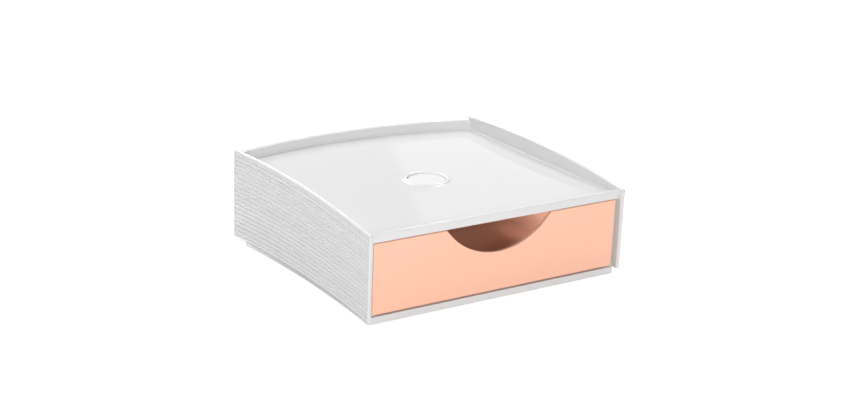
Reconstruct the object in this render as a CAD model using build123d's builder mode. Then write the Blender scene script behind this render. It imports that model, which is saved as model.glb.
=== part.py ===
from build123d import *
import os

# Desktop storage drawer box: a low case with one drawer across its whole width, a sunk
# tray on top, side panels cut like a stack of sheets and a back panel bowed in plan.
# Millimetres, +Z up. The drawer faces -Y. The origin is the middle of the footprint, at
# the height of the surface that the feet stand on.

# The case as seen from outside
tray_width = 255.4  # between the inner faces of the side panels
case_depth = 234.0  # drawer face to the rear end of the side panels
side_overhang = 4.4  # side panels stand ahead of the drawer face by this
side_thickness = 3.6
back_thickness = 4.0
back_bow = 17.6  # the back panel's middle stands behind its ends by this
foot_proud = 0.6  # rubber below the plinth
plinth_height = 6.0
gap_below_drawer = 1.1
drawer_height = 62.4
gap_above_drawer = 0.9
lip_height = 7.8  # front lip, underside to top
lip_thickness = 3.0
tray_sink = 4.7  # lip top down to the tray floor
lip_round = 0.8

# Side panels: both long edges arch between their ends, and the rear end is taller
side_arch = 5.8
side_foot_front = 5.6  # above the plinth's underside
side_foot_rear = 2.5
side_rise_front = 1.1  # above the lip top
side_rise_rear = 7.5
side_corner_round = 2.0
side_edge_break = 0.7
rib_depth = 0.9
groove_height = 0.7
sheet_heights = (2.1, 1.3, 1.8, 2.6, 1.5)  # the stack repeats these between grooves
bottom_rim = 1.7
top_rim = 1.6
standoff_count = 4
standoff_thickness = 2.0
standoff_end_margin = 26.0  # first standoff behind the flange, last one ahead of the back
standoff_lift = 1.0  # clear of the arched lower edge, so that none shows from the side

# Back panel
back_rise = 4.9  # level top edge, above the lip top
back_edge_break = 0.7

# Case walls that the drawer runs between
wall_setback = 6.1  # side panel to the wall behind it
wall_thickness = 2.4
flange_thickness = 2.4
front_seat_gap = 0.4  # drawer front to the flanges behind it

# Base plate: a hollow plinth with waisted sides under a floor that reaches the back panel.
# Its foot spreads out under the side panels, and above that it fits between them.
base_side_gap = 0.3
plinth_setback = 20.0  # ahead of the side panels' rear ends
plinth_front_inset = 3.2  # inside the side panels' outer faces
plinth_rear_inset = 0.8
plinth_waist = 5.7
plinth_foot_height = 3.9
plinth_front_round = 2.0
plinth_rear_round = 5.0
floor_thickness = 2.2
plinth_rim = 2.4
stiffener_thickness = 1.6
stiffener_columns = 3
stiffener_rows = 3
runner_width = 8.0
runner_inset = 20.5  # inside the drawer box's sides
runner_margin = 10.0

# Rubber feet
foot_radius = 7.0
foot_pocket_depth = 1.6
foot_pocket_gap = 0.15
foot_boss_wall = 2.0
foot_side_inset = 23.4  # foot centres inside the floor's edges
foot_front_inset = 24.0
foot_rear_inset = 20.0

# Badge in the tray floor: a raised ring round a bare sunk disc
badge_radius = 21.0
badge_disc_radius = 16.8
badge_from_front = 114.0
badge_pocket_depth = 1.5
badge_ring_rise = 1.3
badge_edge_break = 0.4
badge_disc_thickness = 0.9
badge_gap = 0.1

# Drawer
drawer_side_gap = 3.1  # drawer front to the side panels
drawer_front_thickness = 3.0
drawer_front_round = 0.5
notch_radius = 66.4
notch_depth = 27.0
notch_corner_round = 1.0
box_wall = 2.0
box_floor = 2.0
box_drop = 3.8  # box walls below the top of the drawer's front
box_corner_round = 6.0
box_side_clearance = 1.0
box_rear_clearance = 10.6  # to the ends of the bowed back panel
runner_clearance = 0.3

# Drawer stop: two hooks on the box's rear wall meet two ribs under the tray
stop_behind_flange = 10.1
stop_width = 22.0
stop_drop = 2.4
stop_thickness = 1.6
stop_inset = 46.5  # inside the drawer box's sides
hook_width = 14.0
hook_top_clearance = 0.4

# Heights
plinth_bottom_z = foot_proud
floor_top_z = plinth_bottom_z + plinth_height
drawer_bottom_z = floor_top_z + gap_below_drawer
drawer_top_z = drawer_bottom_z + drawer_height
box_top_z = drawer_top_z - box_drop
tray_underside_z = drawer_top_z + gap_above_drawer
lip_top_z = tray_underside_z + lip_height
tray_floor_z = lip_top_z - tray_sink
side_foot_front_z = plinth_bottom_z + side_foot_front
side_foot_rear_z = plinth_bottom_z + side_foot_rear
side_top_front_z = lip_top_z + side_rise_front
side_top_rear_z = lip_top_z + side_rise_rear

# Places along Y, with the footprint's middle at zero
overall_depth = side_overhang + case_depth + back_bow
side_front_y = -overall_depth / 2
face_y = side_front_y + side_overhang
side_rear_y = face_y + case_depth
side_middle_y = (side_front_y + side_rear_y) / 2
back_inner_y = side_rear_y - back_thickness
plinth_rear_y = side_rear_y - plinth_setback
plinth_middle_y = (face_y + plinth_rear_y) / 2
flange_y = face_y + drawer_front_thickness + front_seat_gap
box_front_y = face_y + drawer_front_thickness
box_rear_y = back_inner_y - box_rear_clearance
stop_y = flange_y + flange_thickness + stop_behind_flange
badge_y = face_y + badge_from_front
foot_front_y = face_y + foot_front_inset
foot_rear_y = plinth_rear_y - foot_rear_inset

# Half widths
tray_half = tray_width / 2
side_outer_x = tray_half + side_thickness
wall_outer_x = tray_half - wall_setback
wall_inner_x = wall_outer_x - wall_thickness
box_half = wall_inner_x - box_side_clearance
floor_half = tray_half - base_side_gap
plinth_front_half = side_outer_x - plinth_front_inset
plinth_rear_half = side_outer_x - plinth_rear_inset
plinth_waist_half = (plinth_front_half + plinth_rear_half) / 2 - plinth_waist
foot_x = floor_half - foot_side_inset
foot_pocket_radius = foot_radius + foot_pocket_gap

os.makedirs("parts", exist_ok=True)


def side_line(height):
    """Front, middle and rear point of a side panel line.

    The height is measured up the panel's front end. A share of the way up the front end is
    the same share of the way up the rear end, so the lines fan out towards the rear, and
    every line arches by the same amount.
    """
    share = height / (side_top_front_z - side_foot_front_z)
    front_z = side_foot_front_z + height
    rear_z = side_foot_rear_z + share * (side_top_rear_z - side_foot_rear_z)
    middle_z = (front_z + rear_z) / 2 + side_arch
    return (side_front_y, front_z), (side_middle_y, middle_z), (side_rear_y, rear_z)


def side_grooves():
    """Lower and upper height of each groove, from the bottom of the stack of sheets up."""
    grooves = []
    low = bottom_rim
    while low + groove_height + top_rim <= side_top_front_z - side_foot_front_z:
        grooves.append((low, low + groove_height))
        low += groove_height + sheet_heights[len(grooves) % len(sheet_heights)]
    return grooves


# Plan of the room inside the side and back panels
with BuildSketch() as inside_plan:
    with BuildLine():
        rear_arc = ThreePointArc(
            (-tray_half, back_inner_y), (0, back_inner_y + back_bow), (tray_half, back_inner_y)
        )
        Polyline(rear_arc @ 1, (tray_half, face_y), (-tray_half, face_y), rear_arc @ 0)
    make_face()

# Plan of the plinth: straight in front, waisted at the sides, bowed like the back panel
with BuildSketch() as plinth_plan:
    with BuildLine():
        front_edge = Line((-plinth_front_half, face_y), (plinth_front_half, face_y))
        right_edge = ThreePointArc(
            front_edge @ 1, (plinth_waist_half, plinth_middle_y), (plinth_rear_half, plinth_rear_y)
        )
        rear_edge = ThreePointArc(
            right_edge @ 1, (0, plinth_rear_y + back_bow), (-plinth_rear_half, plinth_rear_y)
        )
        ThreePointArc(rear_edge @ 1, (-plinth_waist_half, plinth_middle_y), front_edge @ 0)
    make_face()

# Base plate: floor, plinth rim, stiffeners, foot bosses and the two runners
foot_places = [(x, y) for x in (-foot_x, foot_x) for y in (foot_front_y, foot_rear_y)]

with BuildPart() as base_plate:
    with BuildSketch(Plane.XY.offset(plinth_bottom_z)):
        add(plinth_plan.sketch)
    extrude(amount=plinth_foot_height)
    fillet(base_plate.edges().filter_by(Axis.Z).group_by(Axis.Y)[0], radius=plinth_front_round)
    fillet(base_plate.edges().filter_by(Axis.Z).group_by(Axis.Y)[-1], radius=plinth_rear_round)

    with BuildSketch(Plane.XY.offset(plinth_bottom_z + plinth_foot_height)) as upper_outline:
        add(plinth_plan.sketch)
        Rectangle(2 * floor_half, 2 * overall_depth, mode=Mode.INTERSECT)
        fillet(upper_outline.vertices().group_by(Axis.Y)[0], radius=plinth_front_round)
    extrude(amount=plinth_height - plinth_foot_height)

    with BuildSketch(Plane.XY.offset(floor_top_z)):
        add(inside_plan.sketch)
        with Locations((0, plinth_rear_y + overall_depth / 2)):
            Rectangle(2 * floor_half, overall_depth, mode=Mode.INTERSECT)
    extrude(amount=-floor_thickness)

    with BuildSketch(Plane.XY.offset(plinth_bottom_z)):
        add(plinth_plan.sketch)
        offset(amount=-plinth_rim, mode=Mode.REPLACE)
        with GridLocations(2 * floor_half / (stiffener_columns + 1), 0, stiffener_columns, 1):
            Rectangle(stiffener_thickness, 2 * overall_depth, mode=Mode.SUBTRACT)
        with Locations((0, plinth_middle_y)):
            with GridLocations(0, (plinth_rear_y - face_y) / (stiffener_rows + 1), 1, stiffener_rows):
                Rectangle(tray_width, stiffener_thickness, mode=Mode.SUBTRACT)
        with Locations(*foot_places):
            Circle(foot_pocket_radius + foot_boss_wall, mode=Mode.SUBTRACT)
    extrude(amount=plinth_height - floor_thickness, mode=Mode.SUBTRACT)

    with BuildSketch(Plane.XY.offset(plinth_bottom_z)):
        with Locations(*foot_places):
            Circle(foot_pocket_radius)
    extrude(amount=foot_pocket_depth, mode=Mode.SUBTRACT)

    with BuildSketch(Plane.XY.offset(floor_top_z)):
        with Locations((0, (flange_y + plinth_rear_y) / 2)):
            with GridLocations(2 * (box_half - runner_inset), 0, 2, 1):
                Rectangle(runner_width, plinth_rear_y - flange_y - 2 * runner_margin)
    extrude(amount=gap_below_drawer - runner_clearance)

# Case shell: tray plate with its front lip, side walls with front flanges, drawer stops
with BuildPart() as case_shell:
    with BuildSketch(Plane.XY.offset(tray_underside_z)):
        add(inside_plan.sketch)
    extrude(amount=tray_floor_z - tray_underside_z)

    with BuildSketch(Plane.XY.offset(tray_underside_z)):
        with Locations((0, face_y + lip_thickness / 2)):
            Rectangle(tray_width, lip_thickness)
    extrude(amount=lip_height)
    lip_top = case_shell.faces().sort_by(Axis.Z)[-1]
    fillet(lip_top.edges().filter_by(Axis.X), radius=lip_round)

    for side in (-1, 1):
        with BuildSketch(Plane.XY.offset(floor_top_z)):
            add(inside_plan.sketch)
            with Locations((side * (wall_inner_x + wall_thickness / 2), flange_y + overall_depth / 2)):
                Rectangle(wall_thickness, overall_depth, mode=Mode.INTERSECT)
        extrude(amount=tray_underside_z - floor_top_z)
        with BuildSketch(Plane.XY.offset(floor_top_z)):
            with Locations((side * (wall_inner_x + tray_half) / 2, flange_y + flange_thickness / 2)):
                Rectangle(tray_half - wall_inner_x, flange_thickness)
        extrude(amount=tray_underside_z - floor_top_z)

    with BuildSketch(Plane.XY.offset(tray_underside_z)):
        with Locations((0, stop_y + stop_thickness / 2)):
            with GridLocations(2 * (box_half - stop_inset), 0, 2, 1):
                Rectangle(stop_width, stop_thickness)
    extrude(amount=-stop_drop)

    with Locations((0, badge_y, tray_floor_z)):
        Hole(radius=badge_radius + badge_gap, depth=badge_pocket_depth)

# Side panels: an arched plate with its top edges broken, cut by the grooves between the
# sheets, with upright standoffs on its inner face that seat against the case wall
with BuildPart() as left_side_panel:
    side_outer_plane = Plane.YZ.offset(-side_outer_x)
    with BuildSketch(side_outer_plane) as side_outline:
        with BuildLine():
            lower_edge = ThreePointArc(*side_line(0))
            upper_edge = ThreePointArc(*side_line(side_top_front_z - side_foot_front_z))
            Line(lower_edge @ 0, upper_edge @ 0)
            Line(lower_edge @ 1, upper_edge @ 1)
        make_face()
        rear_corners = side_outline.vertices().group_by(Axis.X)[-1]
        fillet(rear_corners.sort_by(Axis.Y)[0], radius=side_corner_round)
    extrude(amount=side_thickness)
    side_top = left_side_panel.faces().sort_by(Axis.Z)[-1]
    chamfer(side_top.edges().filter_by(GeomType.CIRCLE), length=side_edge_break)

    with BuildSketch(side_outer_plane):
        for low, high in side_grooves():
            with BuildLine():
                groove_low = ThreePointArc(*side_line(low))
                groove_high = ThreePointArc(*side_line(high))
                Line(groove_low @ 0, groove_high @ 0)
                Line(groove_low @ 1, groove_high @ 1)
            make_face()
    extrude(amount=rib_depth, mode=Mode.SUBTRACT)

    standoff_low_z = floor_top_z + side_arch + standoff_lift
    standoff_first_y = flange_y + standoff_end_margin
    standoff_pitch = (back_inner_y - standoff_end_margin - standoff_first_y) / (standoff_count - 1)
    standoff_places = [
        (-(wall_outer_x + tray_half) / 2, standoff_first_y + index * standoff_pitch)
        for index in range(standoff_count)
    ]
    with BuildSketch(Plane.XY.offset(standoff_low_z)):
        with Locations(*standoff_places):
            Rectangle(tray_half - wall_outer_x, standoff_thickness)
    extrude(amount=tray_underside_z - standoff_low_z)

with BuildPart() as right_side_panel:
    mirror(left_side_panel.part, about=Plane.YZ)

# Back panel: the same bow on both faces, level along its top, which has its edges broken
with BuildPart() as back_panel:
    with BuildSketch(Plane.XY.offset(side_foot_rear_z)):
        with BuildLine():
            back_inner = ThreePointArc(
                (-tray_half, back_inner_y), (0, back_inner_y + back_bow), (tray_half, back_inner_y)
            )
            back_outer = ThreePointArc(
                (-tray_half, side_rear_y), (0, side_rear_y + back_bow), (tray_half, side_rear_y)
            )
            Line(back_inner @ 0, back_outer @ 0)
            Line(back_inner @ 1, back_outer @ 1)
        make_face()
    extrude(amount=lip_top_z + back_rise - side_foot_rear_z)
    back_top = back_panel.faces().sort_by(Axis.Z)[-1]
    chamfer(back_top.edges().filter_by(GeomType.CIRCLE), length=back_edge_break)

# Badge ring and disc, both seated on the floor of the pocket in the tray
badge_seat_z = tray_floor_z - badge_pocket_depth

with BuildPart() as badge_ring:
    with BuildSketch(Plane.XY.offset(badge_seat_z)):
        with Locations((0, badge_y)):
            Circle(badge_radius)
            Circle(badge_disc_radius, mode=Mode.SUBTRACT)
    extrude(amount=badge_pocket_depth + badge_ring_rise)
    chamfer(badge_ring.edges().group_by(Axis.Z)[-1], length=badge_edge_break)

with BuildPart() as badge_disc:
    with BuildSketch(Plane.XY.offset(badge_seat_z)):
        with Locations((0, badge_y)):
            Circle(badge_disc_radius - badge_gap)
    extrude(amount=badge_disc_thickness)

# Drawer: a front with the finger notch, and an open box behind it, in one moulding
with BuildPart() as drawer:
    face_plane = Plane(origin=(0, face_y, 0), x_dir=(1, 0, 0), z_dir=(0, -1, 0))
    with BuildSketch(face_plane) as front_outline:
        with Locations((0, (drawer_bottom_z + drawer_top_z) / 2)):
            Rectangle(tray_width - 2 * drawer_side_gap, drawer_height)
        with Locations((0, drawer_top_z - notch_depth + notch_radius)):
            Circle(notch_radius, mode=Mode.SUBTRACT)
        notch_ends = front_outline.vertices().group_by(Axis.Y)[-1].sort_by(Axis.X)[1:-1]
        fillet(notch_ends, radius=notch_corner_round)
    extrude(amount=-drawer_front_thickness)
    fillet(drawer.faces().sort_by(Axis.Y)[0].edges(), radius=drawer_front_round)

    with BuildSketch(Plane.XY.offset(drawer_bottom_z)) as box_outline:
        with Locations((0, (box_front_y + box_rear_y) / 2)):
            Rectangle(2 * box_half, box_rear_y - box_front_y)
        fillet(box_outline.vertices().group_by(Axis.Y)[-1], radius=box_corner_round)
    extrude(amount=box_top_z - drawer_bottom_z)

    with BuildSketch(Plane.XY.offset(drawer_bottom_z + box_floor)) as box_inside:
        with Locations((0, (box_front_y + box_rear_y - box_wall) / 2)):
            Rectangle(2 * (box_half - box_wall), box_rear_y - box_wall - box_front_y)
        fillet(box_inside.vertices().group_by(Axis.Y)[-1], radius=box_corner_round - box_wall)
    extrude(amount=box_top_z - drawer_bottom_z - box_floor, mode=Mode.SUBTRACT)

    with BuildSketch(Plane.XY.offset(box_top_z)):
        with Locations((0, box_rear_y - box_wall / 2)):
            with GridLocations(2 * (box_half - stop_inset), 0, 2, 1):
                Rectangle(hook_width, box_wall)
    extrude(amount=tray_underside_z - hook_top_clearance - box_top_z)

pieces = {
    "base_plate": base_plate,
    "case_shell": case_shell,
    "left_side_panel": left_side_panel,
    "right_side_panel": right_side_panel,
    "back_panel": back_panel,
    "badge_ring": badge_ring,
    "badge_disc": badge_disc,
    "drawer": drawer,
}
for name, piece in pieces.items():
    piece.part.label = name
    export_step(piece.part, f"parts/{name}.step")

# Rubber feet, each seated on the roof of its pocket in the plinth
foot_names = ["front_left_foot", "back_left_foot", "front_right_foot", "back_right_foot"]
for name, place in zip(foot_names, foot_places):
    with BuildPart() as foot:
        with BuildSketch(Plane.XY):
            with Locations(place):
                Circle(foot_radius)
        extrude(amount=foot_proud + foot_pocket_depth)
    foot.part.label = name
    export_step(foot.part, f"parts/{name}.step")
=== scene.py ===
# %% [markdown]
# # A desktop storage drawer box
#
# The real object is a low white case of glossy moulded plastic. Its side panels are cut like a
# stack of paper sheets that arch between their ends, its back is bowed, a shallow tray is sunk in
# its top, and one coral drawer with a finger notch fills its front. This notebook dresses the
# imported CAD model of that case. The CAD model is a fixed frame: every surface made here sits where
# the CAD solid sits, and rides on the same body, so that the drawer still slides.

# %% Load the frame
import math

import bmesh
import bpy
import numpy as np
from mathutils import Matrix, Vector


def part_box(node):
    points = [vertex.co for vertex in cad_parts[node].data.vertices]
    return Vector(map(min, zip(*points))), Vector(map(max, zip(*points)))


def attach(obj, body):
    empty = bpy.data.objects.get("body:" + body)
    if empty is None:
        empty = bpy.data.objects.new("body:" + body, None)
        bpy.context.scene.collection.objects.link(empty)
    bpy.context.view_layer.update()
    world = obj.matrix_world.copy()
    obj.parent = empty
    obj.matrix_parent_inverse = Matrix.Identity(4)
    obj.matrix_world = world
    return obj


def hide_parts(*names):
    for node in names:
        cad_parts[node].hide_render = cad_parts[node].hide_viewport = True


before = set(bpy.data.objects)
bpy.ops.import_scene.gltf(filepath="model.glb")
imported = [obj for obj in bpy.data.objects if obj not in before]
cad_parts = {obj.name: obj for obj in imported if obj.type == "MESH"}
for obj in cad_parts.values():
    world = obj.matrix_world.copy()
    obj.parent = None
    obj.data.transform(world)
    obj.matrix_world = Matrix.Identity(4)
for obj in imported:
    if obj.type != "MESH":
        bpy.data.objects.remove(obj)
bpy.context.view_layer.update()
MM = 0.001  # the frame is in metres, and the shapes below are thought out in millimetres
print("nodes:", sorted(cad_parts))

# %% [markdown]
# ## The camera
#
# The picture is 854 by 410 pixels. A camera can be placed by eye, or by solving for the one that
# puts known points of the object on known pixels. The second way is used: the yaw, pitch, roll,
# place and focal length below come from such a fit. The focal length is in pixels, so the lens is
# that share of the sensor's width.

# %% Camera
PICTURE_WIDTH = 854
SENSOR_WIDTH_MM = 36.0
FOCAL_PIXELS = 1618.49
YAW, PITCH, ROLL = (math.radians(angle) for angle in (33.992, 18.7554, 2.3695))
CAMERA_PLACE = Vector((-0.76923, -1.15287, 0.51745))

camera = bpy.data.objects.new("camera", bpy.data.cameras.new("camera"))
bpy.context.scene.collection.objects.link(camera)
camera.data.sensor_width = SENSOR_WIDTH_MM
camera.data.lens = FOCAL_PIXELS / PICTURE_WIDTH * SENSOR_WIDTH_MM
camera.data.clip_start, camera.data.clip_end = 0.05, 60.0

level_right = Vector((math.cos(YAW), -math.sin(YAW), 0))
level_view = Vector((math.sin(YAW), math.cos(YAW), 0))
view = math.cos(PITCH) * level_view - math.sin(PITCH) * Vector((0, 0, 1))
level_up = level_right.cross(view)
right = math.cos(ROLL) * level_right + math.sin(ROLL) * level_up
up = math.cos(ROLL) * level_up - math.sin(ROLL) * level_right
turned_to_view = Matrix((right, up, -view)).transposed().to_4x4()
camera.matrix_world = Matrix.Translation(CAMERA_PLACE) @ turned_to_view
bpy.context.scene.camera = camera
print("lens:", round(camera.data.lens, 2), "mm")

# %% [markdown]
# ## How the surfaces are made
#
# Nearly every visible piece here is a profile carried along a path: the sheet-grooved panel along
# the depth of the case, the back panel across its width, a drawer wall round its box. Modelling
# such pieces by hand with bevels works too, but a grid of points worked out with numpy keeps each
# rounding exact and easy to change. One helper turns the grid into a closed mesh.

# %% Helpers that turn grids of points into pieces
SMOOTH_ANGLE = math.radians(38)


def carried(rings, closed_path=False):
    """Points and faces of a closed profile carried along a path.

    rings[i, j] is point j of the profile at station i. Points j and j + 1, at stations i and
    i + 1, make one quad, and j wraps round. An open path gets one flat face at each end.
    """
    stations, count, _ = rings.shape
    points = rings.reshape(-1, 3)
    spans = stations if closed_path else stations - 1
    here = np.arange(spans)[:, None] * count + np.arange(count)
    ahead = (np.arange(spans)[:, None] + 1) % stations * count + np.arange(count)
    quads = np.stack([here, np.roll(here, -1, 1), np.roll(ahead, -1, 1), ahead], -1).reshape(-1, 4)
    faces = quads.tolist()
    if not closed_path:
        faces += [list(range(count))[::-1], list(range(len(points) - count, len(points)))]
    return points, faces


def box_shell(low, high):
    """Points and faces of a plain block between two corners, in millimetres."""
    corner = np.array([[x, y, z] for z in (0, 1) for x, y in ((0, 0), (1, 0), (1, 1), (0, 1))])
    points = np.array(low) + corner * (np.array(high) - np.array(low))
    faces = [[3, 2, 1, 0], [4, 5, 6, 7], [0, 1, 5, 4], [1, 2, 6, 5], [2, 3, 7, 6], [3, 0, 4, 7]]
    return points, faces


def make_piece(name, shells, material, body, slot, *nodes):
    """One mesh object from closed shells, each (points in mm, faces), that stands for CAD nodes."""
    points, faces = [], []
    for shell_points, shell_faces in shells:
        faces += [[index + len(points) for index in face] for face in shell_faces]
        points += (np.asarray(shell_points) * MM).tolist()
    mesh = bpy.data.meshes.new(name)
    mesh.from_pydata(points, [], faces)
    work = bmesh.new()
    work.from_mesh(mesh)
    bmesh.ops.recalc_face_normals(work, faces=work.faces)
    work.to_mesh(mesh)
    work.free()
    mesh.shade_smooth()
    mesh.set_sharp_from_angle(angle=SMOOTH_ANGLE)
    mesh.materials.append(material)
    piece = bpy.data.objects.new(name, mesh)
    bpy.context.scene.collection.objects.link(piece)
    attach(piece, body)
    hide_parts(*nodes)
    print(name, len(points), "points,", len(faces), "faces")
    return piece


def quarter(count):
    """Angles of a quarter turn, from 0 to 90 degrees, for rounding an edge."""
    return np.linspace(0, math.pi / 2, count)


# %% [markdown]
# ## The finishes
#
# Moulded plastic is never a flat colour. The mould leaves a faint waviness that only shows in
# reflections, and the gloss varies a little where the melt flowed. Both could be painted by hand
# on a texture, but noise on Object coordinates needs no unwrapping: a slow one varies the
# roughness and tints the colour by a shade, through a smooth step so that no edge of the noise
# shows, and a fine one drives a weak bump. The numbers that don't vary sit on the shader's own
# sockets.
#
# Narrow grooves are also made darker than the light alone makes them, by painted shade. The side
# panels carry an attribute that says how deep in a groove each point lies, and their colour darkens
# by it. The inner face of each panel gets painted shade through the same attribute.

# %% Painted shade of the grooves


def darkened(nodes, links, colour, painted_groove_shade):
    """Painted shade: the colour times 1 less a share of the attribute "groove", the depth in a
    groove.
    """
    deep = nodes.new("ShaderNodeAttribute")
    deep.attribute_name = "groove"
    left = nodes.new("ShaderNodeMath")
    left.operation = "MULTIPLY_ADD"
    left.inputs[1].default_value, left.inputs[2].default_value = -painted_groove_shade, 1.0
    links.new(deep.outputs["Fac"], left.inputs[0])
    shaded = nodes.new("ShaderNodeVectorMath")
    shaded.operation = "SCALE"
    links.new(colour, shaded.inputs[0])
    links.new(left.outputs[0], shaded.inputs["Scale"])
    return shaded.outputs[0]


# %% Plastic finishes
PLASTIC_IOR = 1.5
FLOW_SCALE, NOISE_DETAIL = 7.0, 2.0
FLOW_LOW, FLOW_HIGH = 0.15, 0.85
PEEL_HEIGHT = 0.0002  # metres


def plastic(name, colour, shade, roughness, spread, wave, grain, painted_groove_shade=0.0):
    """A moulded plastic. Slow noise moves its colour from shade to colour, and its roughness.

    Where a share of painted shade is given, the colour is multiplied by 1 less that share of the
    mesh's attribute "groove", which is 1 at the bottom of a groove.
    """
    material = bpy.data.materials.new(name)
    material.use_nodes = True
    nodes, links = material.node_tree.nodes, material.node_tree.links
    shader = nodes["Principled BSDF"]
    shader.inputs["IOR"].default_value = PLASTIC_IOR
    place = nodes.new("ShaderNodeTexCoord")
    flow = nodes.new("ShaderNodeTexNoise")
    flow.inputs["Scale"].default_value = FLOW_SCALE
    flow.inputs["Detail"].default_value = NOISE_DETAIL
    links.new(place.outputs["Object"], flow.inputs["Vector"])
    for low, high, data_type, socket in (
        ((*shade, 1), (*colour, 1), "RGBA", "Base Color"),
        (roughness - spread, roughness + spread, "FLOAT", "Roughness"),
    ):
        smooth = nodes.new("ShaderNodeMapRange")
        smooth.interpolation_type = "SMOOTHERSTEP"
        smooth.inputs["From Min"].default_value = FLOW_LOW
        smooth.inputs["From Max"].default_value = FLOW_HIGH
        links.new(flow.outputs["Fac"], smooth.inputs["Value"])
        blend = nodes.new("ShaderNodeMix")
        blend.data_type = data_type
        kind = {"RGBA": "Color", "FLOAT": "Float"}[data_type]
        ends = {end.identifier: end for end in blend.inputs}
        ends[f"A_{kind}"].default_value, ends[f"B_{kind}"].default_value = low, high
        links.new(smooth.outputs["Result"], blend.inputs["Factor"])
        result = [out for out in blend.outputs if out.identifier == f"Result_{kind}"][0]
        if painted_groove_shade and kind == "Color":
            result = darkened(nodes, links, result, painted_groove_shade)
        links.new(result, shader.inputs[socket])
    peel = nodes.new("ShaderNodeTexNoise")
    peel.inputs["Scale"].default_value = grain
    peel.inputs["Detail"].default_value = NOISE_DETAIL
    links.new(place.outputs["Object"], peel.inputs["Vector"])
    bump = nodes.new("ShaderNodeBump")
    bump.inputs["Strength"].default_value = wave
    bump.inputs["Distance"].default_value = PEEL_HEIGHT
    links.new(peel.outputs["Fac"], bump.inputs["Height"])
    links.new(bump.outputs["Normal"], shader.inputs["Normal"])
    return material


case_plastic = plastic("case_gloss", (0.75, 0.75, 0.75), (0.742, 0.744, 0.746),
                       roughness=0.03, spread=0.008, wave=0.006, grain=40)
# The panel's colour gets painted shade in its grooves and on its inner face.
panel_plastic = plastic("panel_satin", (0.765, 0.765, 0.765), (0.755, 0.757, 0.759),
                        roughness=0.2, spread=0.03, wave=0.01, grain=160, painted_groove_shade=0.5)
badge_plastic = plastic("badge_gloss", (0.82, 0.82, 0.82), (0.81, 0.811, 0.813),
                        roughness=0.16, spread=0.02, wave=0.01, grain=80)
coral_plastic = plastic("drawer_coral", (1.0, 0.56, 0.402), (0.99, 0.55, 0.392),
                        roughness=0.24, spread=0.03, wave=0.012, grain=70)
foot_rubber = plastic("foot_rubber", (0.58, 0.58, 0.58), (0.50, 0.50, 0.505),
                      roughness=0.75, spread=0.08, wave=0.3, grain=700)
print("finishes:", [material.name for material in bpy.data.materials])

# %% [markdown]
# ## Side panels
#
# Each side panel looks like a stack of paper sheets of uneven thickness. The sheets arch by the
# same amount, and fan out towards the taller rear end. A sheet's edge could be faked with a striped
# bump, but seen from the side the real grooves cut the outline, so they are geometry: the profile
# walks up the outer face, in and out of every groove, and is carried from front to rear. The height
# of each profile point is a share of the panel's height, so the same share gives the arched line.
# Deep and shallow grooves take turns, and no two are quite alike, as in a real stack of paper.

# %% Lines and grooves of a side panel
panel_low, panel_high = (np.array(corner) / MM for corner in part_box("right_side_panel"))
TRAY_HALF = 127.7
SIDE_THICKNESS = 3.6
SIDE_ARCH = 5.8
FOOT_FRONT_Z, FOOT_REAR_Z = 6.2, 3.1
TOP_FRONT_Z, TOP_REAR_Z = 79.9, 86.3
GROOVE_FLOORS = ((0.5, 0.8), (0.25, 0.45))  # least and most depth of a deep and of a shallow groove
GROOVE_HEIGHT = 0.6
SHEET_HEIGHTS = (1.32, 1.2)
BOTTOM_RIM, TOP_RIM = 1.7, 1.6
SIDE_FRONT_Y, SIDE_REAR_Y = panel_low[1], panel_high[1]
PANEL_HEIGHT = TOP_FRONT_Z - FOOT_FRONT_Z


def side_line(height, y):
    """Height of the arched line that starts at that height up the panel's front end.

    The chord runs from a share of the front end's height to the same share of the rear end's,
    and the arch adds four times its rise, times the share of the depth, times the share left.
    """
    share = height / PANEL_HEIGHT
    front_z = FOOT_FRONT_Z + height
    rear_z = FOOT_REAR_Z + share * (TOP_REAR_Z - FOOT_REAR_Z)
    along = (y - SIDE_FRONT_Y) / (SIDE_REAR_Y - SIDE_FRONT_Y)
    return front_z + (rear_z - front_z) * along + 4 * SIDE_ARCH * along * (1 - along)


grooves, low = [], BOTTOM_RIM
while low + GROOVE_HEIGHT + TOP_RIM <= PANEL_HEIGHT:
    grooves.append((low, low + GROOVE_HEIGHT))
    low += GROOVE_HEIGHT + SHEET_HEIGHTS[len(grooves) % len(SHEET_HEIGHTS)]
print(len(grooves), "grooves")

# %% Profile of a side panel
TOP_ROUND = 1.5
END_ROUND = 0.6
SHEET_ROUND_DEPTH = 0.16
SHEET_STAND_RANGE = (0.0, 0.12)
SHEET_POINTS = 7
sheet_draws = np.random.default_rng(7)


def sheet_edge(low, high, stand):
    """Depth and height of one sheet's edge: its face lies back by stand, and its corners more.

    The drop towards a corner is the cube of the distance from the sheet's middle.
    """
    share = np.linspace(-1, 1, SHEET_POINTS)
    depth = stand + SHEET_ROUND_DEPTH * np.abs(share) ** 3
    return depth, (low + high) / 2 + (high - low) / 2 * share


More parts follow.
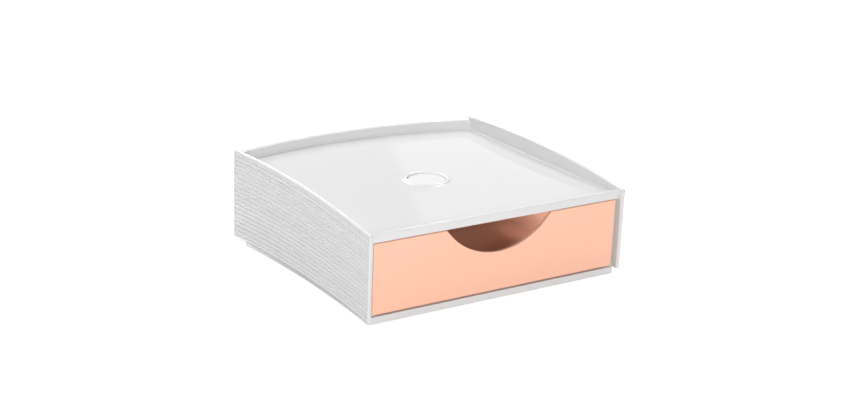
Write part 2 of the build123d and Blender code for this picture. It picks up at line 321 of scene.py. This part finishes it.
def panel_profile():
    """Across, height, extra height, groove depth and pull-in direction of each profile point.

    The loop goes up the outer face, over the rounded top, down the inner face and back. The top's
    two quarter circles are its radius times 1 less the cosine across, and times 1 less the sine
    down.
    """
    rows = [(SIDE_THICKNESS, 0.0, 0.0, 0.0, 1, -1)]
    edges = [0.0] + [height for groove in grooves for height in groove] + [PANEL_HEIGHT]
    stands = sheet_draws.uniform(*SHEET_STAND_RANGE, len(edges) // 2)
    floors = [sheet_draws.uniform(*GROOVE_FLOORS[index % 2]) for index in range(len(edges) // 2)]
    for index in range(0, len(edges), 2):
        low, high = edges[index], edges[index + 1]
        last = index + 2 == len(edges)
        depths, heights = sheet_edge(low, high, stands[index // 2])
        keep = slice(SHEET_POINTS // 2 if index == 0 else 0, SHEET_POINTS // 2 if last else None)
        rows += [(SIDE_THICKNESS, h, 0.0, d, 1, 0) for d, h in zip(depths[keep], heights[keep])]
        if not last:
            rows.append((SIDE_THICKNESS, high + GROOVE_HEIGHT / 2, 0.0, floors[index // 2], 1, 0))
    for angle in quarter(8):
        across = SIDE_THICKNESS - TOP_ROUND * (1 - math.cos(angle))
        rows.append((across, PANEL_HEIGHT, -TOP_ROUND * (1 - math.sin(angle)), 0.0, 1, 1))
    for angle in quarter(8)[::-1]:
        across = TOP_ROUND * (1 - math.cos(angle))
        rows.append((across, PANEL_HEIGHT, -TOP_ROUND * (1 - math.sin(angle)), 0.0, -1, 1))
    rows += [(0.0, share * PANEL_HEIGHT, 0.0, 0.0, -1, 0) for share in (0.75, 0.5, 0.25)]
    rows.append((0.0, 0.0, 0.0, 0.0, -1, -1))
    return np.array(rows)


profile = panel_profile()
print("points round a side panel's profile:", len(profile))

# %% Stations of a side panel
END_MARGIN, PANEL_STATIONS = 1.2, 60
FADE_START, FADE_REACH = 0.3, 1.2
# Painted shade on the inner face, given through the same attribute as the grooves' painted shade.
INNER_PAINTED_SHADE = 0.2  # brings the inner face down to its tone in the photograph


def panel_rings(side):
    """The profile at every station from front to rear for side -1 or 1, and each point's shade.

    At both ends the whole profile is pulled in along a quarter circle, which rounds the end, and
    at the front end the grooves die out in a smooth step, so that the front edge is one strip.
    The painted shade is the groove's depth as a share of the deepest one's, plus the inner face's
    painted shade.
    """
    across, height, extra, depth, pull_x, pull_z = profile.T
    ends = END_ROUND * (1 - np.cos(quarter(5)[1:]))
    y = np.concatenate([
        SIDE_FRONT_Y + np.concatenate([[0.0], ends]),
        np.linspace(SIDE_FRONT_Y + END_MARGIN, SIDE_REAR_Y - END_MARGIN, PANEL_STATIONS),
        SIDE_REAR_Y - np.concatenate([ends[::-1], [0.0]]),
    ])
    near = np.minimum(y - SIDE_FRONT_Y, SIDE_REAR_Y - y)
    inside = np.clip(END_ROUND - near, 0, None)
    pull = END_ROUND - np.sqrt(np.clip(END_ROUND**2 - inside**2, 0, None))
    fade = np.clip((y - SIDE_FRONT_Y - FADE_START) / FADE_REACH, 0, 1)
    fade = fade * fade * (3 - 2 * fade)
    y, pull, fade = y[:, None], pull[:, None], fade[:, None]
    x = TRAY_HALF + across - depth * fade - pull * pull_x
    z = side_line(height, y) + extra - pull * pull_z
    # painted shade on the inner face, fading out over the top's rounding
    inner_painted_shade = np.where(pull_x < 0, INNER_PAINTED_SHADE * (1 - np.clip(across / TOP_ROUND, 0, 1)), 0.0)
    shade = depth / GROOVE_FLOORS[0][1] * fade + inner_painted_shade
    return np.stack([side * x, np.broadcast_to(y, x.shape), z], -1), shade


# %% Make both side panels, with the standoffs behind them
WALL_OUTER_X = 121.6
STANDOFF_THICKNESS = 2.0
STANDOFF_LOW_Z, TRAY_UNDERSIDE_Z = 13.4, 71.0
FLANGE_Y, BACK_INNER_Y = -120.2, 106.4
STANDOFF_COUNT, STANDOFF_MARGIN = 4, 26.0
WALL_CLEARANCE, PANEL_OVERLAP = 0.05, 0.3

for side, name in ((-1, "left_side_panel"), (1, "right_side_panel")):
    rings, deep = panel_rings(side)
    shells = [carried(rings)]
    first, last = FLANGE_Y + STANDOFF_MARGIN, BACK_INNER_Y - STANDOFF_MARGIN
    for y in np.linspace(first, last, STANDOFF_COUNT):
        ends = sorted((side * (WALL_OUTER_X + WALL_CLEARANCE), side * (TRAY_HALF + PANEL_OVERLAP)))
        shells.append(box_shell(
            (ends[0], y - STANDOFF_THICKNESS / 2, STANDOFF_LOW_Z),
            (ends[1], y + STANDOFF_THICKNESS / 2, TRAY_UNDERSIDE_Z),
        ))
    panel = make_piece(name + "_sheets", shells, panel_plastic, "case", "case_white", name)
    # The painted shade is stored on the panel as the point attribute "groove".
    groove = np.zeros(len(panel.data.vertices))
    groove[:deep.size] = deep.ravel()
    panel.data.attributes.new("groove", "FLOAT", "POINT").data.foreach_set("value", groove)

# %% [markdown]
# ## Back panel
#
# The back panel is a plain sheet bowed like a barrel stave, so from above its edge is an arc. A
# flat box bent by a modifier would do, but a profile carried across along the arc keeps the
# rounded top edge even. The thickness is measured along the depth of the case, as in the CAD
# solid: the outer face is the inner one moved straight back.

# %% Back panel
BACK_BOW = 17.6
BACK_THICKNESS = 4.0
BACK_TOP_Z, BACK_MIDDLE_Z = 83.7, 40.0
BACK_ROUND = 1.1
BACK_STATIONS = 97


def bow(x):
    """How far the bowed line stands behind its ends, on the circle through them and the middle.

    Its radius is the sum of the squares of the half width and the bow, over twice the bow.
    """
    radius = (TRAY_HALF**2 + BACK_BOW**2) / (2 * BACK_BOW)
    return np.sqrt(radius**2 - x**2) - (radius - BACK_BOW)


def back_rings():
    """Profile of the back panel, two flat faces joined by a rounded top, at stations across."""
    turn = quarter(7)
    over = np.concatenate([BACK_ROUND * (1 - np.cos(turn)),
                           BACK_THICKNESS - BACK_ROUND * (1 - np.cos(turn[::-1]))])
    top = np.concatenate([BACK_TOP_Z - BACK_ROUND * (1 - np.sin(turn)),
                          BACK_TOP_Z - BACK_ROUND * (1 - np.sin(turn[::-1]))])
    across = np.concatenate([[0.0, 0.0], over, [BACK_THICKNESS, BACK_THICKNESS]])
    z = np.concatenate([[FOOT_REAR_Z, BACK_MIDDLE_Z], top, [BACK_MIDDLE_Z, FOOT_REAR_Z]])
    x = np.linspace(-TRAY_HALF, TRAY_HALF, BACK_STATIONS)[:, None]
    y = BACK_INNER_Y + bow(x) + across
    return np.stack([np.broadcast_to(x, y.shape), y, np.broadcast_to(z, y.shape)], -1)


make_piece("back_panel_bowed", [carried(back_rings())],
           case_plastic, "case", "case_white", "back_panel")

# %% [markdown]
# ## Tray, lip and inner walls
#
# The top of the case is one moulding: a plate with a lip along its front edge, and walls under it
# that the drawer runs between. On the real one the plate doesn't meet its walls in a sharp line:
# a small fillet, called a cove, leads up them and makes the soft shade along the foot of each
# wall. So the plate's top is a height worked out from the distance to the nearest wall. It is laid
# out as four blocks round a square, and the square is filled by a collar with a round hole, which
# is the badge's pocket. Cutting the hole with a Boolean would leave long thin faces.

# %% The cove, and one block of the tray
TRAY_FLOOR_Z = 74.1
COVE_REACH = 0.8


def cove(distance):
    """Rise of a quarter-circle fillet at a distance from the wall that it leads up."""
    left = np.clip(COVE_REACH - distance, 0, COVE_REACH)
    return COVE_REACH - np.sqrt(COVE_REACH**2 - left**2)


def cove_stations(start, stop, towards):
    """Places from start to stop, close together over the cove at the ends named in towards.

    Over a cove they are its radius times the sine of evenly spread angles.
    """
    steps = COVE_REACH * np.sin(quarter(8))[::-1]
    low = start + COVE_REACH - steps if "start" in towards else np.array([start])
    high = stop - COVE_REACH + steps[::-1] if "stop" in towards else np.array([stop])
    return np.concatenate([low, np.linspace(low[-1], high[0], 25)[1:-1], high])


def tray_block(x, y, z, sunk):
    """A block of the tray: the line y, z from front to rear at every x, down to the underside.

    Where sunk is true, the height is at least the cove's beside the side panels.
    """
    x = x[:, None]
    y, z = (np.broadcast_to(values, (len(x), values.shape[-1])) for values in (y, z))
    beside = TRAY_FLOOR_Z + cove(TRAY_HALF - np.abs(x))
    z = np.where(sunk, np.maximum(z, beside), z)
    underside = np.full((len(x), 1), TRAY_UNDERSIDE_Z)
    y = np.concatenate([y[:, :1], y, y[:, -1:]], 1)
    z = np.concatenate([underside, z, underside], 1)
    return carried(np.stack([np.broadcast_to(x, y.shape), y, z], -1))


# %% Front block of the tray, with the lip
FACE_Y = -123.6
LIP_TOP_Z, LIP_LOW = 78.8, 0.5
LIP_THICKNESS, LIP_ROUND, LIP_FOOT = 3.0, 1.3, 1.2
BADGE_Y, BADGE_RADIUS = -9.6, 21.0
COLLAR_HALF = 30.0
FRONT_STEPS, FRONT_STEP_MARGIN = 8, 8
HAIR = 0.001

across_all = cove_stations(-TRAY_HALF, TRAY_HALF, ("start", "stop"))
turn = quarter(8)
lip_back_y = FACE_Y + LIP_THICKNESS
foot = (LIP_FOOT * np.sin(quarter(5)))[::-1]
lip_y = np.concatenate([
    [FACE_Y], FACE_Y + LIP_ROUND * (1 - np.cos(turn)),
    lip_back_y - LIP_ROUND * (1 - np.cos(turn[::-1])), lip_back_y + LIP_FOOT - foot,
])
lip_z = np.concatenate([
    [TRAY_UNDERSIDE_Z + LIP_LOW], LIP_TOP_Z - LIP_ROUND * (1 - np.sin(turn)),
    LIP_TOP_Z - LIP_ROUND * (1 - np.sin(turn[::-1])),
    TRAY_FLOOR_Z + LIP_FOOT - np.sqrt(LIP_FOOT**2 - foot**2),
])
collar_front, collar_rear = BADGE_Y - COLLAR_HALF, BADGE_Y + COLLAR_HALF
front_y = np.concatenate([
    lip_y, np.linspace(lip_back_y + FRONT_STEP_MARGIN, collar_front, FRONT_STEPS),
])
front_z = np.concatenate([lip_z, np.full(FRONT_STEPS, TRAY_FLOOR_Z)])
in_tray = front_y > lip_back_y + HAIR
tray_shells = [tray_block(across_all, front_y, front_z, in_tray)]
print("points along the lip's profile:", len(lip_y))

# %% Rear block along the bowed panel, and a block on each side of the badge
REAR_REACH, SIDE_STEPS = 60, 5

wall_y = BACK_INNER_Y + bow(across_all)[:, None]
reach = np.concatenate([
    np.linspace(1, 0, 8)[:-1] * REAR_REACH + COVE_REACH, COVE_REACH * np.sin(quarter(8))[::-1],
])
rear_y = np.concatenate([np.full((len(across_all), 1), collar_rear), wall_y - reach], 1)
rear_z = np.concatenate([[TRAY_FLOOR_Z], TRAY_FLOOR_Z + cove(reach)])
tray_shells.append(tray_block(across_all, rear_y, rear_z, True))

side_y = np.linspace(collar_front, collar_rear, SIDE_STEPS)
side_z = np.full(SIDE_STEPS, TRAY_FLOOR_Z)
for start, stop, towards in ((-TRAY_HALF, -COLLAR_HALF, "start"), (COLLAR_HALF, TRAY_HALF, "stop")):
    tray_shells.append(tray_block(cove_stations(start, stop, (towards,)), side_y, side_z, True))
print("tray blocks:", len(tray_shells))

# %% Collar and seat of the badge's pocket
ROUND_COUNT = 128
SWELL_REACH, SWELL_RISE = 1.6, 0.3
BADGE_SEAT_Z = 72.6
SEAT_HOLE, SEAT_OVERLAP = 0.4, 0.3

around = np.linspace(0, 2 * math.pi, ROUND_COUNT, endpoint=False)[:, None]
ray = np.concatenate([np.cos(around), np.sin(around)], 1)
square = COLLAR_HALF * ray / np.abs(ray).max(1, keepdims=True)
circle = BADGE_RADIUS * ray


def at_height(plan, z):
    """Plan points round the badge's middle, lifted to one height."""
    return np.concatenate([plan + [0, BADGE_Y], np.full((ROUND_COUNT, 1), z)], 1)


# The floor swells up to the ring: its height is a smooth step of the share of the way in.
swell = [
    at_height(circle * (1 + SWELL_REACH / BADGE_RADIUS * (1 - share)),
              TRAY_FLOOR_Z + SWELL_RISE * share * share * (3 - 2 * share))
    for share in np.linspace(0, 1, 7)
]
collar = [at_height(circle, TRAY_UNDERSIDE_Z), at_height(square, TRAY_UNDERSIDE_Z),
          at_height(square, TRAY_FLOOR_Z)] + swell
tray_shells.append(carried(np.stack(collar, 1), closed_path=True))

seat_radius = BADGE_RADIUS + SEAT_OVERLAP
seat = [at_height(ray * reach, z) for reach, z in (
    (SEAT_HOLE, TRAY_UNDERSIDE_Z), (seat_radius, TRAY_UNDERSIDE_Z),
    (seat_radius, BADGE_SEAT_Z), (SEAT_HOLE, BADGE_SEAT_Z),
)]
tray_shells.append(carried(np.stack(seat)))
print("points round the badge's pocket:", ROUND_COUNT)

# %% Inner walls, flanges and drawer stops
WALL_THICKNESS, FLANGE_THICKNESS = 2.4, 2.4
FLOOR_TOP_Z = 6.6
WALL_REAR_Y = BACK_INNER_Y + 1.6
STOP_Y, STOP_THICKNESS, STOP_WIDTH, STOP_DROP = -107.7, 1.6, 22.0, 2.4
STOP_X = 71.7
OVERLAP = 0.1

top_z = TRAY_UNDERSIDE_Z + OVERLAP
for side in (-1, 1):
    wall = sorted((side * (WALL_OUTER_X - WALL_THICKNESS), side * WALL_OUTER_X))
    flange = sorted((side * (WALL_OUTER_X - WALL_THICKNESS), side * TRAY_HALF))
    stop = (side * STOP_X - STOP_WIDTH / 2, side * STOP_X + STOP_WIDTH / 2)
    tray_shells += [
        box_shell((wall[0], FLANGE_Y + OVERLAP, FLOOR_TOP_Z), (wall[1], WALL_REAR_Y, top_z)),
        box_shell((flange[0], FLANGE_Y, FLOOR_TOP_Z),
                  (flange[1], FLANGE_Y + FLANGE_THICKNESS, top_z)),
        box_shell((stop[0], STOP_Y, TRAY_UNDERSIDE_Z - STOP_DROP),
                  (stop[1], STOP_Y + STOP_THICKNESS, top_z)),
    ]
make_piece("case_shell_moulding", tray_shells, case_plastic, "case", "case_white", "case_shell")

# %% [markdown]
# ## Drawer
#
# The drawer is one moulding: a flat front with a shallow round finger notch, and an open box
# behind. The notch could be cut out by a Boolean and the edges rounded by a Bevel modifier.
# Instead the front is an outline carried through its thickness, pulled in at the face along a
# quarter circle, so that its edge catches the light evenly, the notch's too. The box is a wall
# profile carried round three sides, with a floor plate between. The front hangs a little above
# the box's underside, which leaves the dark gap under it.

# %% Outline of the drawer front
FRONT_HALF = 124.6
FRONT_THICKNESS = 3.0
FRONT_ROUND, FACE_MARGIN = 0.6, 0.3
FRONT_LOW_Z = 8.3
DRAWER_LOW_Z, DRAWER_TOP_Z = 7.7, 70.1
NOTCH_RADIUS, NOTCH_DEPTH, NOTCH_CORNER = 66.4, 27.0, 1.0


def front_outline():
    """Points and outward directions along the drawer front's outline, seen from ahead.

    Straight edges with square corners, and the notch arc, whose two ends are rounded over by a
    small circle that touches the top edge from below and the notch circle from outside.
    """
    centre_z = DRAWER_TOP_Z - NOTCH_DEPTH + NOTCH_RADIUS
    corner_z = DRAWER_TOP_Z - NOTCH_CORNER
    corner_x = math.sqrt((NOTCH_RADIUS + NOTCH_CORNER) ** 2 - (centre_z - corner_z) ** 2)
    lean = math.atan2(corner_x, centre_z - corner_z)
    turn = np.linspace(0, math.pi / 2 + (math.pi / 2 - lean), 9)
    right_x = corner_x + NOTCH_CORNER * np.sin(-turn)
    right_z = corner_z + NOTCH_CORNER * np.cos(turn)
    sweep = np.linspace(lean, -lean, 81)[1:-1]
    arc_x, arc_z = NOTCH_RADIUS * np.sin(sweep), centre_z - NOTCH_RADIUS * np.cos(sweep)
    x = np.concatenate([right_x, arc_x, -right_x[::-1]])
    z = np.concatenate([right_z, arc_z, right_z[::-1]])
    out_x = np.concatenate([-np.sin(turn), -np.sin(sweep), np.sin(turn[::-1])])
    out_z = np.concatenate([np.cos(turn), np.cos(sweep), np.cos(turn[::-1])])
    corners = [(-FRONT_HALF, DRAWER_TOP_Z, -1, 1), (-FRONT_HALF, FRONT_LOW_Z, -1, -1),
               (FRONT_HALF, FRONT_LOW_Z, 1, -1), (FRONT_HALF, DRAWER_TOP_Z, 1, 1)]
    extra = np.array(corners, float).T
    return (np.concatenate([x, extra[0]]), np.concatenate([z, extra[1]]),
            np.concatenate([out_x, extra[2]]), np.concatenate([out_z, extra[3]]))


def front_rings():
    """The outline at stations through the thickness, pulled in at the face to round its edge.

    The first station lies in the face itself, a little further in, so that the large flat face
    meets a strip in its own plane and takes none of the rounding's shade.
    """
    x, z, out_x, out_z = front_outline()
    turn = quarter(6)
    y = FACE_Y + np.concatenate([
        [0.0], FRONT_ROUND * (1 - np.sin(turn))[::-1], [FRONT_THICKNESS],
    ])
    pull = np.concatenate([
        [FRONT_ROUND + FACE_MARGIN], FRONT_ROUND * (1 - np.cos(turn))[::-1], [0.0],
    ])
    y, pull = y[:, None], pull[:, None]
    ring_x, ring_z = x - pull * out_x, z - pull * out_z
    return np.stack([ring_x, np.broadcast_to(y, ring_x.shape), ring_z], -1)


# %% The drawer's box
BOX_HALF, BOX_WALL, BOX_FLOOR = 118.2, 2.0, 2.0
BOX_TOP_Z, BOX_REAR_Y, BOX_CORNER = 66.3, 95.8, 6.0
BOX_FRONT_Y = FACE_Y + FRONT_THICKNESS
RIM_ROUND, BOX_COVE = 0.6, 2.5
FOOT_INSIDE, FOOT_RISE = (0.6, 0.25, 0.0), (0.0, 0.2, 0.6)  # the rounded foot of a wall
WALL_STATIONS = 11
HOOK_X, HOOK_WIDTH, HOOK_TOP_Z = 71.7, 14.0, 70.6
FRONT_OVERLAP, HOOK_OVERLAP = 0.5, 1.0


def box_path():
    """Plan points and outward directions along the box's outer wall: left, rear, right."""
    turn = quarter(9)
    inner_x, inner_y = BOX_HALF - BOX_CORNER, BOX_REAR_Y - BOX_CORNER
    side_y = np.linspace(BOX_FRONT_Y - FRONT_OVERLAP, inner_y, WALL_STATIONS + 1)[:-1]
    x = np.concatenate([np.full(WALL_STATIONS, -BOX_HALF), -inner_x - BOX_CORNER * np.cos(turn)])
    y = np.concatenate([side_y, inner_y + BOX_CORNER * np.sin(turn)])
    out_x = np.concatenate([np.full(WALL_STATIONS, -1.0), -np.cos(turn)])
    out_y = np.concatenate([np.zeros(WALL_STATIONS), np.sin(turn)])
    return (np.concatenate([x, -x[::-1]]), np.concatenate([y, y[::-1]]),
            np.concatenate([out_x, -out_x[::-1]]), np.concatenate([out_y, out_y[::-1]]))


def wall_profile():
    """Distance inside the outer wall, and height: up outside, over the rim, down to the cove."""
    rim, cove_turn = quarter(5), quarter(7)
    inside = np.concatenate([FOOT_INSIDE, RIM_ROUND * (1 - np.cos(rim)),
                             BOX_WALL - RIM_ROUND * (1 - np.cos(rim[::-1])),
                             BOX_WALL + BOX_COVE * (1 - np.cos(cove_turn)), [BOX_WALL + BOX_COVE]])
    z = np.concatenate([DRAWER_LOW_Z + np.array(FOOT_RISE),
                        BOX_TOP_Z - RIM_ROUND * (1 - np.sin(rim)),
                        BOX_TOP_Z - RIM_ROUND * (1 - np.sin(rim[::-1])),
                        DRAWER_LOW_Z + BOX_FLOOR + BOX_COVE * (1 - np.sin(cove_turn)),
                        [DRAWER_LOW_Z]])
    return inside, z


def box_shells():
    """The carried wall, and the floor plate inside it."""
    x, y, out_x, out_y = (values[:, None] for values in box_path())
    inside, z = wall_profile()
    ring_x = x - inside * out_x
    ring_y = y - inside * out_y
    wall = np.stack([ring_x, ring_y, np.broadcast_to(z, ring_x.shape)], -1)
    edge = np.stack([ring_x[:, -1], ring_y[:, -1]], -1)
    floor = np.stack([
        np.concatenate([edge, np.full((len(edge), 1), height)], 1)
        for height in (DRAWER_LOW_Z, DRAWER_LOW_Z + BOX_FLOOR)
    ])
    return [carried(wall), carried(floor)]


hooks = [
    box_shell((side * HOOK_X - HOOK_WIDTH / 2, BOX_REAR_Y - BOX_WALL, BOX_TOP_Z - HOOK_OVERLAP),
              (side * HOOK_X + HOOK_WIDTH / 2, BOX_REAR_Y, HOOK_TOP_Z))
    for side in (-1, 1)
]
make_piece("drawer_moulding", [carried(front_rings())] + box_shells() + hooks,
           coral_plastic, "drawer", "drawer_coral", "drawer")

# %% [markdown]
# ## Badge
#
# In the middle of the tray a rounded ring is let into the floor, with a slightly dished disc in
# it, and both are bare. Blender's Spin tool turns such shapes from a drawn profile. Here the same
# is done with numpy: a profile of radius and height is carried round a circle, so that the seam
# closes by itself.

# %% Badge ring
RING_INNER_RADIUS = 17.4
RING_TOP_Z = 75.4
RING_ROUND = 1.5


def turned(radius, z):
    """A profile carried round the badge's axis: x is the radius times the cosine, y the sine."""
    x = radius * np.cos(around)
    y = BADGE_Y + radius * np.sin(around)
    return np.stack([x, y, np.broadcast_to(z, x.shape)], -1)


turn = quarter(7)
ring_radius = np.concatenate([
    [BADGE_RADIUS], BADGE_RADIUS - RING_ROUND * (1 - np.cos(turn)),
    RING_INNER_RADIUS + RING_ROUND * (1 - np.cos(turn[::-1])), [RING_INNER_RADIUS],
])
ring_z = np.concatenate([
    [BADGE_SEAT_Z], RING_TOP_Z - RING_ROUND * (1 - np.sin(turn)),
    RING_TOP_Z - RING_ROUND * (1 - np.sin(turn[::-1])), [BADGE_SEAT_Z],
])
make_piece("badge_ring_turned", [carried(turned(ring_radius, ring_z), closed_path=True)],
           badge_plastic, "case", "badge_white", "badge_ring")

# %% Badge disc
DISC_RADIUS, DISC_TOP_Z = 16.9, 73.5
DISC_DISH, DISC_ROUND = 0.35, 0.3
DISC_MIDDLE = 0.02  # share of the radius where one flat face closes the middle


def disc_shell():
    """A turned disc whose top sinks by the dish times 1 less the square of the radius's share."""
    reach = np.linspace(1, DISC_MIDDLE, 14)
    turn = quarter(4)[:-1]
    radius = np.concatenate([[DISC_RADIUS], DISC_RADIUS - DISC_ROUND * (1 - np.cos(turn)),
                             (DISC_RADIUS - DISC_ROUND) * reach])
    z = np.concatenate([[BADGE_SEAT_Z], DISC_TOP_Z - DISC_ROUND * (1 - np.sin(turn)),
                        DISC_TOP_Z - DISC_DISH * (1 - reach**2)])
    return carried(turned(radius, z).swapaxes(0, 1))


make_piece("badge_disc_turned", [disc_shell()], badge_plastic, "case", "badge_white", "badge_disc")

# %% [markdown]
# ## Pieces that keep their CAD mesh
#
# The base plate is a plinth with upright, waisted sides, and the feet are round pads under it. The
# CAD mesh already shows both well. They could be made again as the others are, and would look the
# same, so they keep that mesh and only get their finish.

# %% Finishes on the CAD pieces
feet = [f"{row}_{side}_foot" for row in ("front", "back") for side in ("left", "right")]
kept = {"base_plate": case_plastic} | dict.fromkeys(feet, foot_rubber)
for name, finish in kept.items():
    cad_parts[name].data.materials.clear()
    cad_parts[name].data.materials.append(finish)
print("kept:", sorted(kept))

# %% [markdown]
# ## Floor
#
# The photograph is a shop picture: the object stands on pure white and casts next to no shadow. A
# light so strong that the floor clips would clip the white case as well. Instead the floor glows
# for the camera and for mirror rays only, over a dark matte grey that still takes a contact
# shadow. For the light that it throws back onto the case, it is plain white card with a weak glow
# of its own.

# %% Floor
FLOOR_HALF = 12.0
floor_mesh = bpy.data.meshes.new("floor")
corners = [(-1, -1, 0), (1, -1, 0), (1, 1, 0), (-1, 1, 0)]
floor_mesh.from_pydata(corners, [], [(0, 1, 2, 3)])
floor_mesh.transform(Matrix.Diagonal((FLOOR_HALF, FLOOR_HALF, 1, 1)))
floor = bpy.data.objects.new("floor", floor_mesh)
bpy.context.scene.collection.objects.link(floor)
print("floor:", 2 * FLOOR_HALF, "m across")

# %% The rays that are seen


def seen_rays(nodes, links):
    """The share of a ray that is seen: from the camera, in a mirror or through glass."""
    path = nodes.new("ShaderNodeLightPath")
    either = nodes.new("ShaderNodeMath")
    either.operation = "MAXIMUM"
    links.new(path.outputs["Is Camera Ray"], either.inputs[0])
    links.new(path.outputs["Is Glossy Ray"], either.inputs[1])
    any_seen = nodes.new("ShaderNodeMath")
    any_seen.operation = "MAXIMUM"
    links.new(either.outputs[0], any_seen.inputs[0])
    links.new(path.outputs["Is Transmission Ray"], any_seen.inputs[1])
    return any_seen.outputs[0]


# %% The floor's finish
FLOOR_GLOW, FLOOR_GREY = 0.93, 0.13  # as it is seen
FLOOR_LIFT, FLOOR_BOUNCE = 0.07, 0.95  # as it lights the case


def glowing_matte(nodes, links, glow, grey):
    """A matte grey surface that also gives off light: the sum of both shaders."""
    light, matte = nodes.new("ShaderNodeEmission"), nodes.new("ShaderNodeBsdfDiffuse")
    light.inputs["Strength"].default_value = glow
    matte.inputs["Color"].default_value = (grey, grey, grey, 1)
    both = nodes.new("ShaderNodeAddShader")
    links.new(light.outputs[0], both.inputs[0])
    links.new(matte.outputs[0], both.inputs[1])
    return both.outputs[0]


floor_finish = bpy.data.materials.new("floor_white")
floor_finish.use_nodes = True
nodes, links = floor_finish.node_tree.nodes, floor_finish.node_tree.links
nodes.remove(nodes["Principled BSDF"])
choose = nodes.new("ShaderNodeMixShader")
links.new(seen_rays(nodes, links), choose.inputs["Fac"])
links.new(glowing_matte(nodes, links, FLOOR_LIFT, FLOOR_BOUNCE), choose.inputs[1])
links.new(glowing_matte(nodes, links, FLOOR_GLOW, FLOOR_GREY), choose.inputs[2])
links.new(choose.outputs[0], nodes["Material Output"].inputs["Surface"])
floor_mesh.materials.append(floor_finish)
print("floor finish:", floor_finish.name, len(nodes), "nodes")

# %% [markdown]
# ## World
#
# The world is white for the rays that are seen, and lights the case at a plain level. The glossy
# tray of the photograph seems to mirror a light grey wall, which ends in a slanted edge across
# the tray. A real wall in the scene would also shade the case, so the wall is only in the world's
# colour for mirror rays.

# %% World
WORLD_LIGHT, WORLD_SEEN = 0.26, 1.0
world = bpy.data.worlds.new("studio")
bpy.context.scene.world = world
world.use_nodes = True
nodes, links = world.node_tree.nodes, world.node_tree.links
plain = nodes["Background"]
plain.inputs["Color"].default_value = (1, 1, 1, 1)
plain.inputs["Strength"].default_value = WORLD_LIGHT
seen = nodes.new("ShaderNodeBackground")
seen.inputs["Color"].default_value = (1, 1, 1, 1)
print("world light:", WORLD_LIGHT)

# %% The grey wall in the mirror
# It ends along the plane through the room's middle with this normal, and at a height given as
# the sine of its angle above the floor.
WALL_EDGE, WALL_EDGE_BLUR = (0.8346, -0.3982, -0.3808), 0.004
WALL_TOP, WALL_TOP_BLUR = 0.50, 0.08
WALL_GREY = 0.71
ray = nodes.new("ShaderNodeTexCoord")
beyond = nodes.new("ShaderNodeVectorMath")
beyond.operation = "DOT_PRODUCT"
beyond.inputs[1].default_value = WALL_EDGE
links.new(ray.outputs["Generated"], beyond.inputs[0])
height = nodes.new("ShaderNodeSeparateXYZ")
links.new(ray.outputs["Generated"], height.inputs[0])
open_sky = nodes.new("ShaderNodeMath")
open_sky.operation = "MAXIMUM"
for source, middle, blur, socket in ((beyond.outputs["Value"], 0.0, WALL_EDGE_BLUR, 0),
                                     (height.outputs["Z"], WALL_TOP, WALL_TOP_BLUR, 1)):
    step = nodes.new("ShaderNodeMapRange")
    step.interpolation_type = "SMOOTHSTEP"
    step.inputs["From Min"].default_value = middle - blur
    step.inputs["From Max"].default_value = middle + blur
    links.new(source, step.inputs["Value"])
    links.new(step.outputs["Result"], open_sky.inputs[socket])
brightness = nodes.new("ShaderNodeMapRange")
brightness.inputs["To Min"].default_value = WALL_GREY
brightness.inputs["To Max"].default_value = WORLD_SEEN
links.new(open_sky.outputs[0], brightness.inputs["Value"])
path = nodes.new("ShaderNodeLightPath")
mirrored = nodes.new("ShaderNodeMix")
mirrored.inputs["A"].default_value = WORLD_SEEN
links.new(path.outputs["Is Glossy Ray"], mirrored.inputs["Factor"])
links.new(brightness.outputs["Result"], mirrored.inputs["B"])
links.new(mirrored.outputs["Result"], seen.inputs["Strength"])
choose = nodes.new("ShaderNodeMixShader")
links.new(seen_rays(nodes, links), choose.inputs["Fac"])
links.new(plain.outputs[0], choose.inputs[1])
links.new(seen.outputs[0], choose.inputs[2])
links.new(choose.outputs[0], nodes["World Output"].inputs["Surface"])
print("world:", len(nodes), "nodes")

# %% [markdown]
# ## Lamps
#
# Four soft lamps light the case, and each has its job, which shows when it is switched off. The
# front one lights what faces forwards: the drawer, the lip and the plinth. The left one lights the
# side panel's sheets and the tray, and stands a little behind the front's plane, so that it hardly
# reaches the front. The right one makes the bright line along the lip, and lights the tray
# together with the left and the back ones. A first layout came from rendering each lamp alone and
# adding up the pictures with different weights. Places, sizes and watts were then adjusted by
# comparing renders with the photograph. A fifth, very small lamp in the drawer stands for the
# light that thin plastic lets through. It is never seen itself.

# %% Lamps
CASE_MIDDLE = (0, 0, 0.04)
FILL_SPREAD_DEGREES = 58


def softbox(name, place, aim, size, watts):
    """A square area lamp that looks from its place at a point."""
    lamp = bpy.data.lights.new(name, "AREA")
    lamp.size = size
    lamp.energy = watts
    holder = bpy.data.objects.new(name, lamp)
    bpy.context.scene.collection.objects.link(holder)
    holder.location = place
    holder.rotation_euler = (Vector(aim) - Vector(place)).to_track_quat("-Z", "Y").to_euler()
    return holder


softbox("front", (-0.60, -1.62, 0.58), CASE_MIDDLE, 0.46, 14.0)
softbox("left", (-1.46, 0.26, 1.80), CASE_MIDDLE, 0.8, 19.6)
softbox("right", (0.99, 0.72, 1.36), CASE_MIDDLE, 0.62, 11.5)
softbox("back", (0.26, 1.47, 1.05), CASE_MIDDLE, 0.7, 13.0)
fill = softbox("inside_drawer", (0.064, -0.088, 0.048), (0.116, -0.02, 0.032), 0.012, 0.0068)
fill.data.spread = math.radians(FILL_SPREAD_DEGREES)
fill.visible_camera = fill.visible_glossy = False

# %% Picture settings, sizes and finish
bpy.context.scene.view_settings.view_transform = "Standard"
